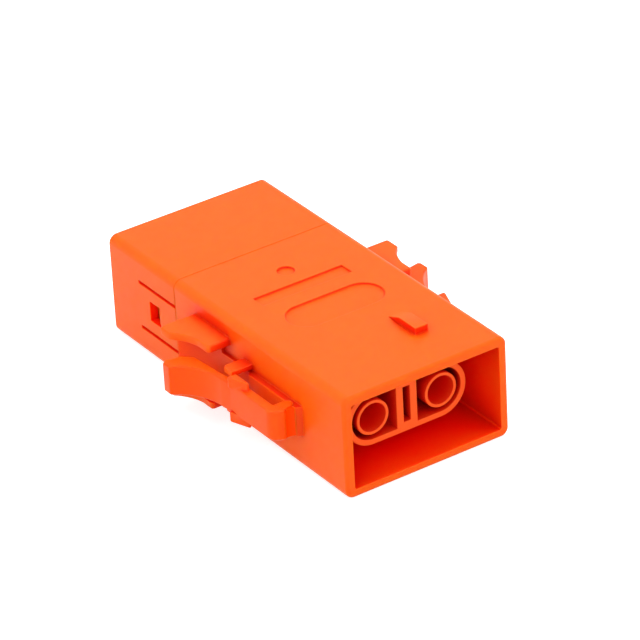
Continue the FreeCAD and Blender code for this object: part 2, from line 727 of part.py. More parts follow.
def contact_lock():
    """A fork that slides in from below, behind both contacts' shoulders."""
    body = new_body("contact_lock")
    low = middle_height - at.carrier_radius + at.sliding_fit
    high = middle_height + at.lock_rise
    notch = at.neck_radius + at.sliding_fit
    fork = section_at(body, at.shoulder_seat + at.shoulder_length + at.sliding_fit / 2)
    rectangle(fork, -at.lock_reach, low, at.lock_reach, high)
    pad(body, fork, at.lock_thickness)
    for side in (-1, 1):
        gap = section_at(body, at.shoulder_seat + at.shoulder_length)
        outline(gap, [
            Corner(half_pitch - notch, middle_height, notch),
            Corner(half_pitch, middle_height - notch, notch),
            Corner(half_pitch + notch, middle_height), Corner(half_pitch + notch, high),
            Corner(half_pitch - notch, high)], side)
        pocket(body, gap, at.neck_length)


def interlock_bridge():
    """A flat U that joins the mate's two interlock pins."""
    body = new_body("interlock_bridge")
    rear = at.plug_front + at.slot_depth + at.bridge_length / 2
    front = rear - at.bridge_length
    low, high = middle_height - at.bridge_spread / 2, middle_height + at.bridge_spread / 2
    blade = side_view_at(body, -at.bridge_half)
    outline(blade, [
        Corner(front, low), Corner(rear, low), Corner(rear, high), Corner(front, high),
        Corner(front, high - at.bridge_leg), Corner(rear - at.bridge_leg, high - at.bridge_leg),
        Corner(rear - at.bridge_leg, low + at.bridge_leg), Corner(front, low + at.bridge_leg)])
    pad(body, blade, at.bridge_half * 2)


# Seals: one round each wire, their retainer, and the ring that seals against the mate

def wire_seal(name, side):
    body = new_body(name)
    outer = at.seal_bore - at.sliding_fit / 2
    groove = outer - at.seal_groove
    quarter = (at.carrier_rear - at.seal_seat) / 4
    profile = plan_at(body, 0)
    outline(profile, [
        Corner(at.seal_inner, at.seal_seat), Corner(outer, at.seal_seat),
        Corner(groove, at.seal_seat + quarter), Corner(outer, at.seal_seat + quarter * 2),
        Corner(groove, at.seal_seat + quarter * 3), Corner(outer, at.carrier_rear),
        Corner(at.seal_inner, at.carrier_rear)])
    revolve(body, profile)
    on_pole(body, side)


def seal_retainer():
    body = new_body("seal_retainer")
    plate = section_at(body, at.carrier_rear)
    plug_section(plate, at.carrier_radius)
    for side in (-1, 1):
        circle(plate, side * half_pitch, middle_height, at.retainer_hole)
    pad(body, plate, at.retainer_thickness)


def mating_seal():
    """The ring round the plug core, at the bottom of the mouth, with a lip at each end."""
    body = new_body("mating_seal")
    inner = at.plug_radius + at.sliding_fit / 2
    front = at.cavity_depth - at.ring_length
    ring = section_at(body, front)
    plug_section(ring, inner + at.ring_wall)
    plug_section(ring, inner)
    pad(body, ring, at.ring_length)
    for start in (front, front + at.ring_length * (3 / 4)):
        lip = section_at(body, start)
        plug_section(lip, inner + at.ring_wall + at.ring_lip)
        plug_section(lip, inner + at.ring_wall / 2)
        pad(body, lip, at.ring_length / 4)


front_housing()
rear_cover()
contact_carrier()
contact_lock()
interlock_bridge()
seal_retainer()
mating_seal()
for side_name, side_sign in (("left", -1), ("right", 1)):
    side_latch(f"{side_name}_latch", side_sign)
    contact(f"{side_name}_contact", side_sign)
    spring_cage(f"{side_name}_contact_spring", side_sign)
    wire_seal(f"{side_name}_wire_seal", side_sign)

doc.recompute()
for item in doc.Objects:
    if "Invalid" in item.State or "Error" in item.State:
        raise RuntimeError(f"{item.Label} did not rebuild: {item.State}")
for body in bodies:
    shape = body.Shape
    if shape.isNull() or not shape.isValid() or len(shape.Solids) != 1:
        raise RuntimeError(f"{body.Label} is not one sound solid")

os.makedirs("parts", exist_ok=True)
for body in bodies:
    body.Shape.exportStep(f"parts/{body.Label}.step")
    print(f"{body.Label}: {body.Shape.Volume:.1f} mm3")
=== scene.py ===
"""Looks of the two-pole in-line power connector: softened mouldings, finishes and the stage."""

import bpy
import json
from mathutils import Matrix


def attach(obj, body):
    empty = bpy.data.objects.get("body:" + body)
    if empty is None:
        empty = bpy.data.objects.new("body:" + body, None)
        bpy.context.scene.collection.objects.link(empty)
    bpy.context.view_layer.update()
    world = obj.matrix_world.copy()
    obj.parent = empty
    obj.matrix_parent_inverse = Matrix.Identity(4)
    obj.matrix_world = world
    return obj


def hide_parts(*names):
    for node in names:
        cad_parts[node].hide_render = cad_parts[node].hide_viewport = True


bl_info = {
    "name": "In-line power connector",
    "version": (1, 0, 0),
    "blender": (4, 5, 0),
    "location": "View3D > Sidebar > Connector",
    "description": "Softens the mouldings, gives each piece its finish and sets the stage",
    "category": "Object",
}

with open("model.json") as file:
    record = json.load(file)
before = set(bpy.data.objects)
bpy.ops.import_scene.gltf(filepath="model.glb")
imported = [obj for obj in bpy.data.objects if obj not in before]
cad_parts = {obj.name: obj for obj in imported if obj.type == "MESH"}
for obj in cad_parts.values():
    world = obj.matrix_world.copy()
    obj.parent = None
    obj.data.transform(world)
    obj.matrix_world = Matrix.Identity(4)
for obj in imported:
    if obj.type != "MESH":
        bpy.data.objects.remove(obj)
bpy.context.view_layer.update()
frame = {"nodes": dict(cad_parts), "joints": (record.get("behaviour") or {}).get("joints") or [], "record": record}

import json
import math

import bmesh
import bpy
from bpy.props import FloatProperty, FloatVectorProperty, IntProperty, PointerProperty
from bpy.types import Operator, Panel, PropertyGroup
from mathutils import Matrix, Vector

MILLIMETRE = 0.001
BODY_OF_NODE = {
    node: body for body, nodes in frame["record"]["behaviour"]["bodies"].items() for node in nodes
}

# How the meshes are made
WELD_DISTANCE = 0.0005 * MILLIMETRE  # corners nearer than this are one
FLAT_ANGLE = math.radians(0.5)  # faces that turn by less than this are one flat face
ROUND_PROFILE = 0.5  # a bevel's profile that is an arc
LARGE_FACE_WEIGHT = 100  # the most that a modifier lets large faces count in the shading
WEB_ARC_STEPS = 8  # facets across a web's hollow face
WEB_ROOT_SHARE = 0.8  # how far a web's hidden side reaches into the latch's root, of its radius
FLOOR_DROP = 0.02 * MILLIMETRE  # floor below the connector

# Roughness from the smoothest to the roughest places
SHELL_SHEEN = (0.36, 0.43)
CORE_SHEEN = (0.42, 0.5)
INSERT_SHEEN = (0.45, 0.55)
SEAL_SHEEN = (0.6, 0.75)
TURNED_SHEEN = (0.22, 0.32)
STAMPED_SHEEN = (0.26, 0.36)
STRIP_SHEEN = (0.18, 0.28)

# Sizes of the marks in the finishes, and how they are drawn out
SHEEN_MARKS = 2.5 * MILLIMETRE
SEAL_SHEEN_MARKS = 1.2 * MILLIMETRE
METAL_SHEEN_MARKS = 0.8 * MILLIMETRE
FLOW_MARKS = 14 * MILLIMETRE
FLOW_STRETCH = (1, 0.35, 1)
BLOOM_MARKS = 3 * MILLIMETRE
TARNISH_MARKS = 2.5 * MILLIMETRE
TOOL_MARKS = 0.12 * MILLIMETRE
TOOL_MARK_DEPTH = 0.002 * MILLIMETRE
TURNED_STRETCH = (0.1, 1, 0.1)
STAMPED_STRETCH = (1, 0.1, 1)
STRIP_STRETCH = (1, 0.08, 1)
NOISE_RANGE = (0.3, 0.7)  # where most of a noise's values lie

# How open a place is where its painted shade is full, and where none of it is left
CORNER_SHADE = (0.35, 0.92)
MOUTH_SHADE = (0.45, 0.85)
BORE_SHADE = (0.3, 0.85)
SLOT_SHADE = (0.02, 0.3)
SHADE_SAMPLES = 8

# How the plastics take light
PLASTIC_IOR = 1.5
SILICONE_IOR = 1.41
PLASTIC_SCATTER = (1.0, 0.1, 0.02)
SHELL_SCATTER_WEIGHT = 0.7
SHELL_SCATTER_DEPTH = 2.5 * MILLIMETRE
SHELL_SPECULAR = 0.13
CORE_SCATTER_WEIGHT = 0.15
CORE_SCATTER_DEPTH = 0.6 * MILLIMETRE
DULL_SPECULAR = 0.05

# Stage
WHITE = (1, 1, 1, 1)
FLOOR_GREY = (0.6, 0.6, 0.6, 1)
FLOOR_ROUGHNESS = 0.9
FLOOR_GLOW = 0.75
SENSOR_WIDTH = 36
NEAREST_SEEN = 0.05
LAMPS = (  # name, place, side of the square, and the setting that holds the power
    ("overhead", (0.0, 0.1, 1.2), 1.2, "overhead_power"),
    ("latch_side", (-1.0, 0.3, 0.25), 0.5, "side_power"),
    ("mouth_front", (0.0, -1.0, 0.45), 0.8, "front_power"),
)


# Sizes and colours that a user would change


def colour(name, description, default):
    """A colour that the panel shows as a swatch."""
    return FloatVectorProperty(
        name=name, description=description, default=default, min=0, max=1, subtype="COLOR")


class MouldingLook(PropertyGroup):
    """The mouldings' edges and the webs at the latches' roots."""

    edge_radius: FloatProperty(
        name="Edge radius", description="Rounding of the outer mouldings' sharp edges",
        default=0.14 * MILLIMETRE, min=0.02 * MILLIMETRE, max=0.3 * MILLIMETRE, precision=5,
        unit="LENGTH", subtype="DISTANCE")
    inner_edge_radius: FloatProperty(
        name="Inner edge radius", description="Rounding of the inner pieces' sharp edges",
        default=0.06 * MILLIMETRE, min=0.01 * MILLIMETRE, max=0.2 * MILLIMETRE, precision=5,
        unit="LENGTH", subtype="DISTANCE")
    edge_segments: IntProperty(
        name="Edge segments", description="Facets across a rounded edge", default=2, min=1, max=4)
    sharp_angle: FloatProperty(
        name="Sharp angle", description="Edges that turn by more than this are rounded",
        default=math.radians(50), min=math.radians(20), max=math.radians(80), subtype="ANGLE")
    arm_height: FloatProperty(
        name="Arm height", description="Latch arm from its bottom to its top, without the teeth",
        default=5.8 * MILLIMETRE, min=3 * MILLIMETRE, max=10 * MILLIMETRE, precision=4,
        unit="LENGTH", subtype="DISTANCE")
    root_radius: FloatProperty(
        name="Root radius", description="Rounded root of a latch, round its turning axis",
        default=1.1 * MILLIMETRE, min=0.5 * MILLIMETRE, max=2 * MILLIMETRE, precision=4,
        unit="LENGTH", subtype="DISTANCE")
    web_at_bend: FloatVectorProperty(
        name="Web at the bend", description="Web's edge on the latch, out from and behind the axis",
        default=(1.5 * MILLIMETRE, -1.66 * MILLIMETRE), size=2, precision=5, unit="LENGTH")
    web_at_pad: FloatVectorProperty(
        name="Web at the pad", description="Web's edge on the pad, out from and behind the axis",
        default=(-0.75 * MILLIMETRE, -2.14 * MILLIMETRE), size=2, precision=5, unit="LENGTH")
    web_hollow: FloatProperty(
        name="Web hollow", description="Depth of the web's hollow face",
        default=0.35 * MILLIMETRE, min=0.05 * MILLIMETRE, max=1 * MILLIMETRE, precision=5,
        unit="LENGTH", subtype="DISTANCE")
    web_inset: FloatProperty(
        name="Web inset", description="Web's ends inside the arm's top and bottom",
        default=0.25 * MILLIMETRE, min=0.0, max=1 * MILLIMETRE, precision=5, unit="LENGTH",
        subtype="DISTANCE")


class PlasticLook(PropertyGroup):
    """The plastics and the seals."""

    shell_colour: colour(
        "Shell", "Colour of the front housing and the rear cover", (0.98, 0.115, 0.002))
    shell_deep_colour: colour(
        "Shell, deeper", "Second colour of the shell's faint flow marks", (0.97, 0.105, 0.002))
    # Painted shade: the shell's darker red in its gaps and corners, where shade falls.
    shell_shade_colour: colour(
        "Shell, sheltered", "Colour of the shell in its gaps and corners", (0.55, 0.01, 0.0))
    # Painted shade: the red the shell goes over to inside its mouth, in place of the shade and the red bounced
    # light among its walls.
    mouth_shade_colour: colour(
        "Shell, mouth", "Colour of the shell inside its mouth", (1.0, 0.0, 0.0))
    # Painted shade: a darker copy of the shell's orange, standing in for the shade the latches sit in.
    latch_shaded_colour: colour("Latches", "Colour of the thin-walled latches", (0.98, 0.095, 0.0015))
    latch_shaded_deep_colour: colour(
        "Latches, deeper", "Second colour of the latches' faint flow marks", (0.97, 0.085, 0.0015))
    # Painted shade: the rear cover's red in its slits and corners, where shade falls.
    slit_shade_colour: colour("Cover, slits", "Colour of the rear cover in its slits", (1.0, 0.015, 0.0))
    # Painted shade: the webs' red stands in for the shade in the valley between latch and pad.
    web_shade_colour: colour("Webs", "Colour of the webs between latch and pad", (0.95, 0.06, 0.0))
    carrier_colour: colour("Core", "Colour of the contact carrier", (0.98, 0.13, 0.024))
    carrier_deep_colour: colour(
        "Core, deeper", "Second colour of the core's faint mottling", (0.93, 0.12, 0.02))
    # Painted shade: the core's darker red in its bores and pockets, and near black deep in its narrow slots.
    carrier_shade_colour: colour(
        "Core, sheltered", "Colour of the core in its bores and pockets", (0.85, 0.006, 0.0))
    carrier_slot_shade_colour: colour(
        "Core, slots", "Colour of the core deep in its narrow slots", (0.05, 0.001, 0.0))
    # Painted shade: how near a wall has to be for a surface to get its painted shade.
    shade_reach: FloatProperty(
        name="Shelter", description="How near a wall has to be to shelter a surface",
        default=9 * MILLIMETRE, min=1 * MILLIMETRE, max=30 * MILLIMETRE, precision=4, unit="LENGTH",
        subtype="DISTANCE")
    # Painted shade: how near the mouth's walls have to be for that red to be painted.
    mouth_shade_reach: FloatProperty(
        name="Mouth depth", description="How near the mouth's walls have to be to tint each other",
        default=25 * MILLIMETRE, min=5 * MILLIMETRE, max=60 * MILLIMETRE, precision=4,
        unit="LENGTH", subtype="DISTANCE")
    insert_colour: colour(
        "Inserts", "Colour of the contact lock and seal retainer", (0.62, 0.6, 0.54))
    insert_deep_colour: colour(
        "Inserts, deeper", "Second colour of the inserts' mottling", (0.55, 0.53, 0.47))
    seal_colour: colour("Seals", "Colour of the silicone seals", (0.55, 0.07, 0.02))
    seal_deep_colour: colour(
        "Seals, deeper", "Second colour of the seals' bloom", (0.47, 0.055, 0.018))
    grain_size: FloatProperty(
        name="Grain", description="Grain of the moulded surfaces", default=0.16 * MILLIMETRE,
        min=0.05 * MILLIMETRE, max=1.0 * MILLIMETRE, precision=5, unit="LENGTH", subtype="DISTANCE")
    grain_depth: FloatProperty(
        name="Grain depth", description="Depth of that grain", default=0.004 * MILLIMETRE,
        min=0.0, max=0.05 * MILLIMETRE, precision=6, unit="LENGTH", subtype="DISTANCE")


class MetalLook(PropertyGroup):
    """The contacts, their springs and the interlock bridge."""

    plating_colour: colour("Plating", "Colour of the silver plating", (0.86, 0.85, 0.82))
    plating_deep_colour: colour(
        "Plating, tarnished", "Second colour, where the plating is faintly tarnished",
        (0.78, 0.75, 0.68))
    spring_colour: colour("Springs", "Colour of the copper alloy strip", (0.83, 0.58, 0.3))
    spring_deep_colour: colour("Springs, deeper", "Second colour of the strip", (0.76, 0.5, 0.24))


class StageLook(PropertyGroup):
    """Camera, floor and lights."""

    focal_length: FloatProperty(
        name="Focal length", description="Focal length on a 36 mm wide sensor", default=257.39,
        min=20, max=600, subtype="DISTANCE_CAMERA")
    azimuth: FloatProperty(
        name="Azimuth", description="Turn of the camera about the connector",
        default=math.radians(-33.031), subtype="ANGLE")
    elevation: FloatProperty(
        name="Elevation", description="Height angle of the camera", default=math.radians(30.547),
        subtype="ANGLE")
    roll: FloatProperty(
        name="Roll", description="Turn of the camera about its own axis",
        default=math.radians(-3.167), subtype="ANGLE")
    distance: FloatProperty(
        name="Distance", description="Camera to the point it looks at", default=0.79821, min=0.1,
        max=5, unit="LENGTH", subtype="DISTANCE")
    target: FloatVectorProperty(
        name="Target", description="Point that the camera looks at", default=(0, -0.0036, 0.009),
        unit="LENGTH", subtype="TRANSLATION")
    shift: FloatVectorProperty(
        name="Shift", description="Shift of the picture across and up, in picture widths",
        default=(0.00461, 0.03984), size=2)
    floor_size: FloatProperty(
        name="Floor", description="Side of the square floor", default=6.0, min=1, max=20,
        unit="LENGTH", subtype="DISTANCE")
    world_strength: FloatProperty(
        name="Surroundings", description="Brightness of the white surroundings", default=1.0,
        min=0, max=3)
    overhead_power: FloatProperty(
        name="Overhead lamp", description="Power of the large soft lamp above", default=6.6, min=0,
        max=100, unit="POWER")
    side_power: FloatProperty(
        name="Side lamp", description="Power of the soft lamp on the latch side", default=1.8,
        min=0, max=100, unit="POWER")
    front_power: FloatProperty(
        name="Front lamp", description="Power of the soft lamp in front of the mouth", default=3.0,
        min=0, max=100, unit="POWER")


# Finishes


class Finish:
    """A material while its nodes are put together.

    Its roughness is given as its least and greatest value and the size of its marks.
    """

    def __init__(self, name, roughness, bump_depth, **sockets):
        self.material = bpy.data.materials.new(name)
        self.material.use_nodes = True
        self.tree = self.material.node_tree
        self.shader = self.tree.nodes["Principled BSDF"]
        self.coordinates = self.tree.nodes.new("ShaderNodeTexCoord").outputs["Object"]
        self.bump_depth = bump_depth
        self.vary_roughness(*roughness)
        for socket, value in sockets.items():
            self.shader.inputs[socket.replace("_", " ")].default_value = value

    def noise(self, size, detail=2.0, stretch=(1, 1, 1)):
        """Noise with marks of about the given size, in metres."""
        mapping = self.tree.nodes.new("ShaderNodeMapping")
        mapping.inputs["Scale"].default_value = stretch
        texture = self.tree.nodes.new("ShaderNodeTexNoise")
        texture.inputs["Scale"].default_value = 1 / size
        texture.inputs["Detail"].default_value = detail
        self.tree.links.new(self.coordinates, mapping.inputs["Vector"])
        self.tree.links.new(mapping.outputs["Vector"], texture.inputs["Vector"])
        return texture.outputs["Fac"]

    def remapped(self, value, start, end, to_start=0.0, to_end=1.0):
        """A value that runs from to_start to to_end as the given one runs from start to end."""
        spread = self.tree.nodes.new("ShaderNodeMapRange")
        spread.inputs["From Min"].default_value = start
        spread.inputs["From Max"].default_value = end
        spread.inputs["To Min"].default_value = to_start
        spread.inputs["To Max"].default_value = to_end
        self.tree.links.new(value, spread.inputs["Value"])
        return spread.outputs["Result"]

    def colour_mix(self, factor):
        """Mixes two colours by a factor, and gives the sockets of both and of the result."""
        mix = self.tree.nodes.new("ShaderNodeMix")
        mix.data_type = "RGBA"
        self.tree.links.new(factor, mix.inputs[0])
        # The node has sockets for numbers and vectors too, so its colours have these places.
        return mix.inputs[6], mix.inputs[7], mix.outputs[2]

    def vary_roughness(self, smooth, rough, size):
        """An uneven sheen, with places of about the given size, in metres."""
        roughness = self.remapped(self.noise(size), *NOISE_RANGE, smooth, rough)
        self.tree.links.new(roughness, self.shader.inputs["Roughness"])

    def mottle(self, colour_a, colour_b, size, stretch=(1, 1, 1)):
        """Two close colours that drift into each other."""
        first, second, mixed = self.colour_mix(self.noise(size, stretch=stretch))
        first.default_value = (*colour_a, 1)
        second.default_value = (*colour_b, 1)
        self.tree.links.new(mixed, self.shader.inputs["Base Color"])

    def paint_shade(self, sheltered, reach, shade):
        """Paints shade: goes over to a deeper colour in a piece's own gaps, hollows and corners, where its own
        ambient occlusion finds them.
        """
        base = self.shader.inputs["Base Color"]
        # How much the piece's own faces close a place in sets how much painted shade it gets.
        shelter = self.tree.nodes.new("ShaderNodeAmbientOcclusion")
        shelter.samples = SHADE_SAMPLES
        shelter.only_local = True
        shelter.inputs["Distance"].default_value = reach
        deep, unshaded, mixed = self.colour_mix(self.remapped(shelter.outputs["AO"], *shade))
        deep.default_value = (*sheltered, 1)
        self.tree.links.new(base.links[0].from_socket, unshaded)
        self.tree.links.new(mixed, base)

    def bump(self, height):
        """Raises the surface by the given height, as far as its bump depth."""
        node = self.tree.nodes.new("ShaderNodeBump")
        node.inputs["Strength"].default_value = 1
        node.inputs["Distance"].default_value = self.bump_depth
        self.tree.links.new(height, node.inputs["Height"])
        self.tree.links.new(node.outputs["Normal"], self.shader.inputs["Normal"])


def moulded_plastic(name, colour_a, colour_b, sheen, look, **sockets):
    """Satin plastic: a fine moulded grain, faint flow marks and an uneven sheen."""
    finish = Finish(name, (*sheen, SHEEN_MARKS), look.grain_depth, IOR=PLASTIC_IOR, **sockets)
    finish.mottle(colour_a, colour_b, FLOW_MARKS, stretch=FLOW_STRETCH)
    finish.bump(finish.noise(look.grain_size, detail=3))
    return finish


def shell_orange(name, look, colours, sheltered):
    """The shell's orange, which light enters a little, with painted shade in its mouth, gaps and corners."""
    finish = moulded_plastic(
        name, *colours, SHELL_SHEEN, look, Subsurface_Weight=SHELL_SCATTER_WEIGHT,
        Subsurface_Radius=PLASTIC_SCATTER, Subsurface_Scale=SHELL_SCATTER_DEPTH,
        Specular_IOR_Level=SHELL_SPECULAR)
    finish.paint_shade(look.mouth_shade_colour, look.mouth_shade_reach, MOUTH_SHADE)
    finish.paint_shade(sheltered, look.shade_reach, CORNER_SHADE)
    return finish.material


def web_orange(look):
    """The shell's plastic with the valley's shade beside a latch's root painted into its red, too thin to hold
    light.
    """
    return moulded_plastic(
        "web_orange", look.web_shade_colour, look.web_shade_colour, SHELL_SHEEN, look,
        Specular_IOR_Level=DULL_SPECULAR).material


def core_orange(look):
    """The core's browner orange, with painted shade in the bores and painted dark deep in the slots."""
    finish = moulded_plastic(
        "core_orange", look.carrier_colour, look.carrier_deep_colour, CORE_SHEEN, look,
        Subsurface_Weight=CORE_SCATTER_WEIGHT, Subsurface_Radius=PLASTIC_SCATTER,
        Subsurface_Scale=CORE_SCATTER_DEPTH, Specular_IOR_Level=DULL_SPECULAR)
    finish.paint_shade(look.carrier_shade_colour, look.shade_reach, BORE_SHADE)
    finish.paint_shade(look.carrier_slot_shade_colour, look.shade_reach / 2, SLOT_SHADE)
    return finish.material


def insert_plastic(look):
    """The pale plastic of the contact lock and the seal retainer."""
    return moulded_plastic(
        "insert_plastic", look.insert_colour, look.insert_deep_colour, INSERT_SHEEN,
        look).material


def seal_silicone(look):
    """Matt rubber with a dusty bloom, grained twice as coarsely and deeply as the plastics."""
    finish = Finish(
        "seal_silicone", (*SEAL_SHEEN, SEAL_SHEEN_MARKS), look.grain_depth * 2, IOR=SILICONE_IOR)
    finish.mottle(look.seal_colour, look.seal_deep_colour, BLOOM_MARKS)
    finish.bump(finish.noise(look.grain_size * 2, detail=4))
    return finish.material


def metal(name, colour_a, colour_b, sheen, stretch):
    """Bare or plated metal with fine marks drawn out along or round the piece."""
    finish = Finish(name, (*sheen, METAL_SHEEN_MARKS), TOOL_MARK_DEPTH, Metallic=1.0)
    finish.mottle(colour_a, colour_b, TARNISH_MARKS)
    finish.bump(finish.noise(TOOL_MARKS, stretch=stretch))
    return finish.material


# Mouldings


def placed(form, name, material):
    """An object in the scene with the faces of a form, which is then used up, and one material."""
    mesh = bpy.data.meshes.new(name)
    form.to_mesh(mesh)
    form.free()
    piece = bpy.data.objects.new(name, mesh)
    piece.data.materials.append(material)
    bpy.context.scene.collection.objects.link(piece)
    return piece


def softened(node_name, edge_radius, material):
    """Puts a copy with joined flat faces and rounded sharp edges in a CAD piece's place."""
    look = bpy.context.scene.connector_mouldings
    form = bmesh.new()
    form.from_mesh(frame["nodes"][node_name].data)
    bmesh.ops.remove_doubles(form, verts=form.verts, dist=WELD_DISTANCE)
    bmesh.ops.dissolve_limit(form, angle_limit=FLAT_ANGLE, verts=form.verts, edges=form.edges)
    for face in form.faces:
        face.smooth = True
    piece = placed(form, f"{node_name}_soft", material)

    edges = piece.modifiers.new("Rounded edges", "BEVEL")
    edges.width = edge_radius
    edges.segments = look.edge_segments
    edges.limit_method = "ANGLE"
    edges.angle_limit = look.sharp_angle
    edges.use_clamp_overlap = False
    edges.profile = ROUND_PROFILE
    shading = piece.modifiers.new("Flat faces stay flat", "WEIGHTED_NORMAL")
    shading.mode = "FACE_AREA"
    shading.weight = LARGE_FACE_WEIGHT
    shading.keep_sharp = False

    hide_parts(node_name)
    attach(piece, BODY_OF_NODE[node_name])


class CONNECTOR_OT_front_housing(Operator):
    """Softens the front housing and gives it the shell's orange"""

    bl_idname = "connector.front_housing"
    bl_label = "Front housing"

    def execute(self, context):
        scene = context.scene
        look = scene.connector_plastics
        orange = shell_orange(
            "shell_orange", look, (look.shell_colour, look.shell_deep_colour),
            look.shell_shade_colour)
        softened("front_housing", scene.connector_mouldings.edge_radius, orange)
        return {"FINISHED"}


class CONNECTOR_OT_rear_cover(Operator):
    """Softens the rear cover and gives it the shell's orange, with painted shade in the slits"""

    bl_idname = "connector.rear_cover"
    bl_label = "Rear cover"

    def execute(self, context):
        scene = context.scene
        look = scene.connector_plastics
        orange = shell_orange(
            "cover_orange", look, (look.shell_colour, look.shell_deep_colour), look.slit_shade_colour)
        softened("rear_cover", scene.connector_mouldings.edge_radius, orange)
        return {"FINISHED"}


class CONNECTOR_OT_latches(Operator):
    """Softens both side latches, gives them a darker orange as painted shade and joins them on"""

    bl_idname = "connector.latches"
    bl_label = "Latches"

    def execute(self, context):
        scene = context.scene
        look = scene.connector_plastics
        orange = shell_orange(
            "latch_orange", look, (look.latch_shaded_colour, look.latch_shaded_deep_colour),
            look.shell_shade_colour)
        valley_shade_orange = web_orange(look)
        for node_name, side in (("left_latch", -1), ("right_latch", 1)):
            softened(node_name, scene.connector_mouldings.edge_radius, orange)
            hinge_web(node_name, side, valley_shade_orange)
        return {"FINISHED"}


def hinge_web(name, side, orange):
    """The hollow web that joins a latch's bend to the pad, so that no groove shows between them."""
    look = bpy.context.scene.connector_mouldings
    joint = next(joint for joint in frame["joints"] if joint["child"] == f"{name}_arm")
    rise = look.arm_height - look.web_inset * 2
    axis_foot = Vector(joint["pos_m"]) - Vector((0, 0, rise / 2))
    at_bend = axis_foot + Vector((side * look.web_at_bend[0], look.web_at_bend[1], 0))
    at_pad = axis_foot + Vector((side * look.web_at_pad[0], look.web_at_pad[1], 0))
    # The hollow face is an arc over the chord between the two edges, web_hollow deep.
    chord = at_pad - at_bend
    radius = chord.length_squared / (8 * look.web_hollow) + look.web_hollow / 2
    forwards = Vector((-chord.y, chord.x, 0)).normalized() * side
    centre = (at_bend + at_pad) / 2 + forwards * (radius - look.web_hollow)

    form = bmesh.new()
    start = form.verts.new(at_bend)
    arc = bmesh.ops.spin(
        form, geom=[start], cent=centre, axis=(0, 0, side),
        angle=2 * math.asin(chord.length / 2 / radius), steps=WEB_ARC_STEPS, use_duplicate=False)
    in_pad = form.verts.new(axis_foot + Vector((side * look.web_at_pad[0], -look.root_radius, 0)))
    in_latch = form.verts.new(
        axis_foot + Vector((side * look.root_radius * WEB_ROOT_SHARE, -look.root_radius, 0)))
    form.edges.new((arc["geom_last"][0], in_pad))
    form.edges.new((in_pad, in_latch))
    form.edges.new((in_latch, start))
    face = bmesh.ops.contextual_create(form, geom=form.edges[:])["faces"][0]
    raised = bmesh.ops.extrude_face_region(form, geom=[face])["geom"]
    top = [item for item in raised if isinstance(item, bmesh.types.BMVert)]
    bmesh.ops.translate(form, vec=(0, 0, rise), verts=top)
    bmesh.ops.recalc_face_normals(form, faces=form.faces)
    web = placed(form, f"{name}_web", orange)
    web.data.shade_smooth()
    web.data.set_sharp_from_angle(angle=look.sharp_angle)
    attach(web, "housing")


class CONNECTOR_OT_carrier(Operator):
    """Softens the contact carrier and gives it its slightly browner orange"""

    bl_idname = "connector.carrier"
    bl_label = "Contact carrier"

    def execute(self, context):
        scene = context.scene
        orange = core_orange(scene.connector_plastics)
        softened(
            "contact_carrier", scene.connector_mouldings.edge_radius, orange)
        return {"FINISHED"}


class CONNECTOR_OT_inserts(Operator):
    """Softens the contact lock and the seal retainer and gives them their pale plastic"""

    bl_idname = "connector.inserts"
    bl_label = "Lock and retainer"

    def execute(self, context):
        scene = context.scene
        plastic = insert_plastic(scene.connector_plastics)
        for node_name in ("contact_lock", "seal_retainer"):
            softened(
                node_name, scene.connector_mouldings.inner_edge_radius, plastic)
        return {"FINISHED"}


class CONNECTOR_OT_seals(Operator):
    """Softens the wire seals and the mating seal and gives them their silicone"""

    bl_idname = "connector.seals"
    bl_label = "Seals"

    def execute(self, context):
        scene = context.scene
        silicone = seal_silicone(scene.connector_plastics)
        for node_name in ("left_wire_seal", "right_wire_seal", "mating_seal"):
            softened(node_name, scene.connector_mouldings.inner_edge_radius, silicone)
        return {"FINISHED"}


class CONNECTOR_OT_contacts(Operator):
    """Plates the contacts and the interlock bridge and gives the spring cages their strip metal"""

    bl_idname = "connector.contacts"
    bl_label = "Contacts"

    def execute(self, context):
        scene = context.scene
        look = scene.connector_metals
        turned = metal(
            "turned_plating", look.plating_colour, look.plating_deep_colour, TURNED_SHEEN,
            TURNED_STRETCH)
        for node_name in ("left_contact", "right_contact"):
            softened(
                node_name, scene.connector_mouldings.inner_edge_radius, turned)
        stamped = metal(
            "stamped_plating", look.plating_colour, look.plating_deep_colour, STAMPED_SHEEN,
            STAMPED_STRETCH)
        strip = metal(
            "spring_strip", look.spring_colour, look.spring_deep_colour, STRIP_SHEEN,
            STRIP_STRETCH)
        for node_name, finish in (
                ("interlock_bridge", stamped),
                ("left_contact_spring", strip), ("right_contact_spring", strip)):
            slots = frame["nodes"][node_name].data.materials
            slots.clear()
            slots.append(finish)
        return {"FINISHED"}


# Stage


